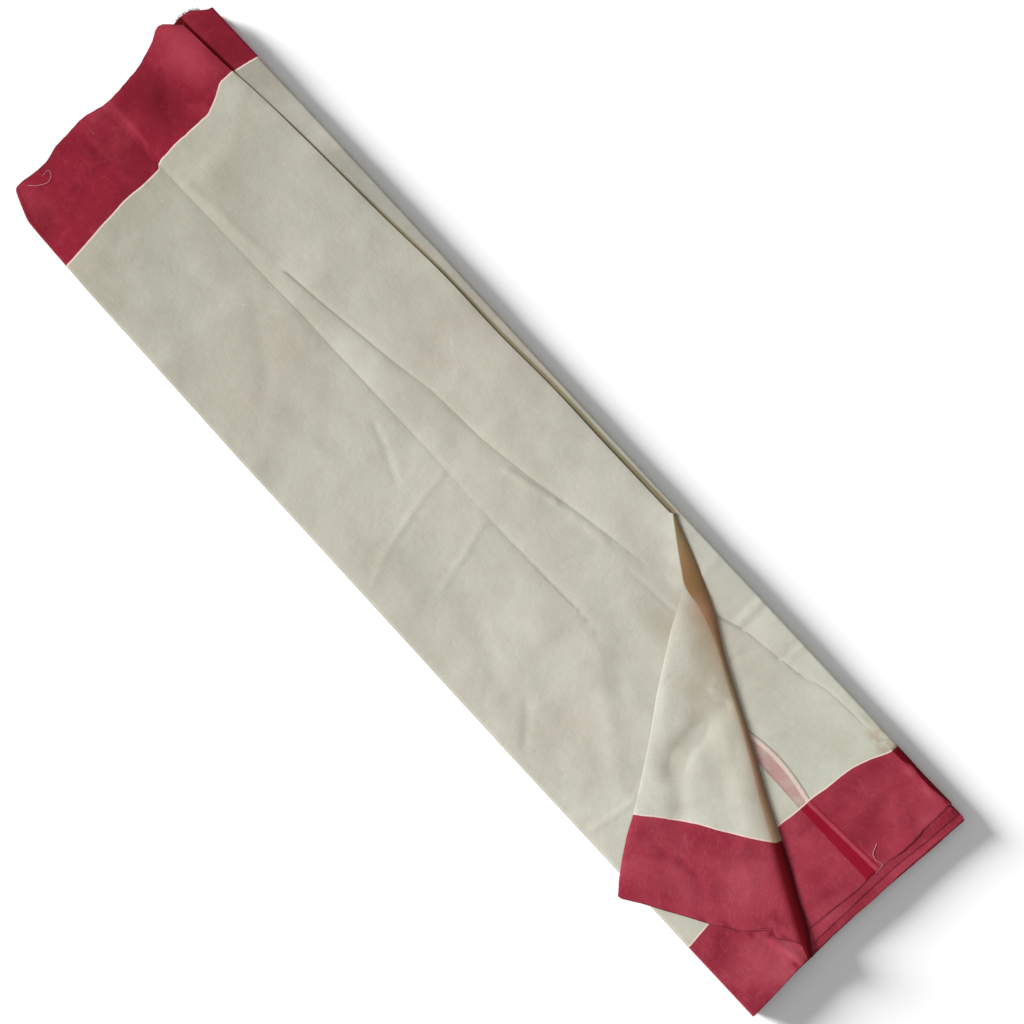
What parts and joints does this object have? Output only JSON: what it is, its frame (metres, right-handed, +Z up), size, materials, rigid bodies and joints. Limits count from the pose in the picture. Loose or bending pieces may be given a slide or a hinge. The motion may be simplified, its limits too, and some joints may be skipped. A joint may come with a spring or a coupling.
{
  "type": "folded dhoti cloth",
  "caption": "Long cotton dhoti with woven crimson borders, fan-folded into a narrow flat bundle, one corner of the top panel turned back.",
  "frame": {"origin": "bottom centre of the overall box, on the surface the bundle rests on", "axes": "+X along the bundle from its head end to its foot end, +Y across it towards the top panel's free side, +Z up"},
  "size_m": [1.1896, 0.3248, 0.0201],
  "materials": {
    "cream_field": "unbleached handloom cotton, matt",
    "crimson_head_border": "crimson woven cotton, matt",
    "crimson_foot_border": "crimson woven cotton, paler, matt"
  },
  "bodies": {
    "root": {"stack_head_border": "crimson_head_border", "stack_field": "cream_field", "stack_foot_border": "crimson_foot_border", "under_head_border": "crimson_head_border", "under_field": "cream_field", "under_foot_border": "crimson_foot_border", "top_head_border": "crimson_head_border", "top_field": "cream_field", "top_foot_border": "crimson_foot_border"}
  },
  "joints": []
}
